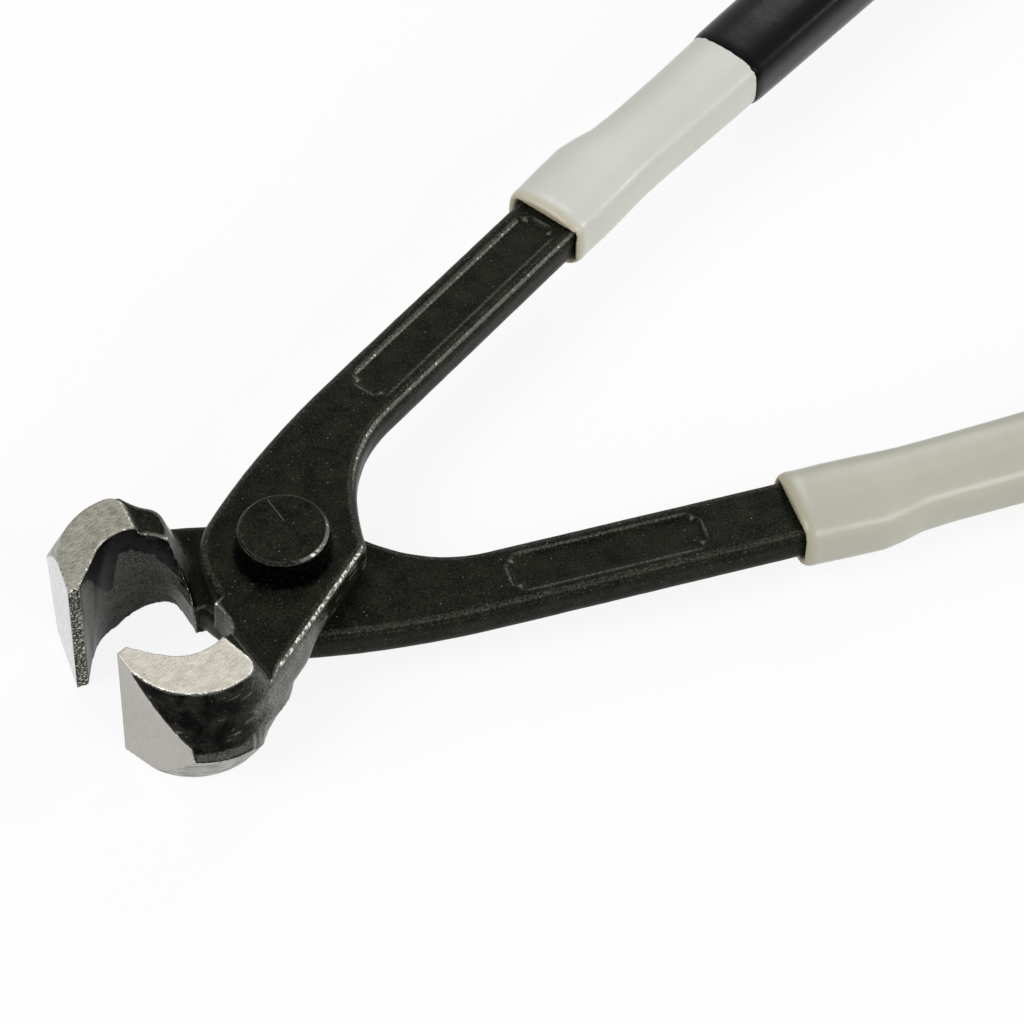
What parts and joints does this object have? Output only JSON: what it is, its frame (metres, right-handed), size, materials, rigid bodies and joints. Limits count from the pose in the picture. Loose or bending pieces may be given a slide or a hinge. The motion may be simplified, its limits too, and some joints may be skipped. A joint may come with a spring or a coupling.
{
  "type": "rebar tying pliers",
  "caption": "End-cutting pliers for twisting and cutting tying wire: forged halves lapped at a rivet, claw jaws with ground faces, long handles in grey and black dipped grips.",
  "frame": {"origin": "middle of the rivet's flat tail face, on the joint's axis", "axes": "+X away from the jaws, midway between the handles; +Y to the side where the upper half has its handle; +Z along the joint's axis, from the rivet's tail to its head"},
  "size_m": [0.2881, 0.172, 0.0223],
  "materials": {
    "forged_steel": "semi-gloss black paint over a forged skin, ground bright at the jaws",
    "grey_vinyl": "smooth dipped vinyl",
    "black_vinyl": "satin dipped vinyl"
  },
  "bodies": {
    "upper": {"upper_half": "forged_steel", "upper_grip_collar": "grey_vinyl", "upper_grip_sleeve": "black_vinyl", "pivot_rivet": "forged_steel"},
    "lower": {"lower_half": "forged_steel", "lower_grip_collar": "grey_vinyl", "lower_grip_sleeve": "black_vinyl"}
  },
  "joints": [
    {"name": "rivet_hinge", "type": "hinge", "parent": "upper", "child": "lower", "pos_m": [0, 0, 0.00845], "axis": [0, 0, 1], "range_deg": [-52, 22.6]}
  ]
}
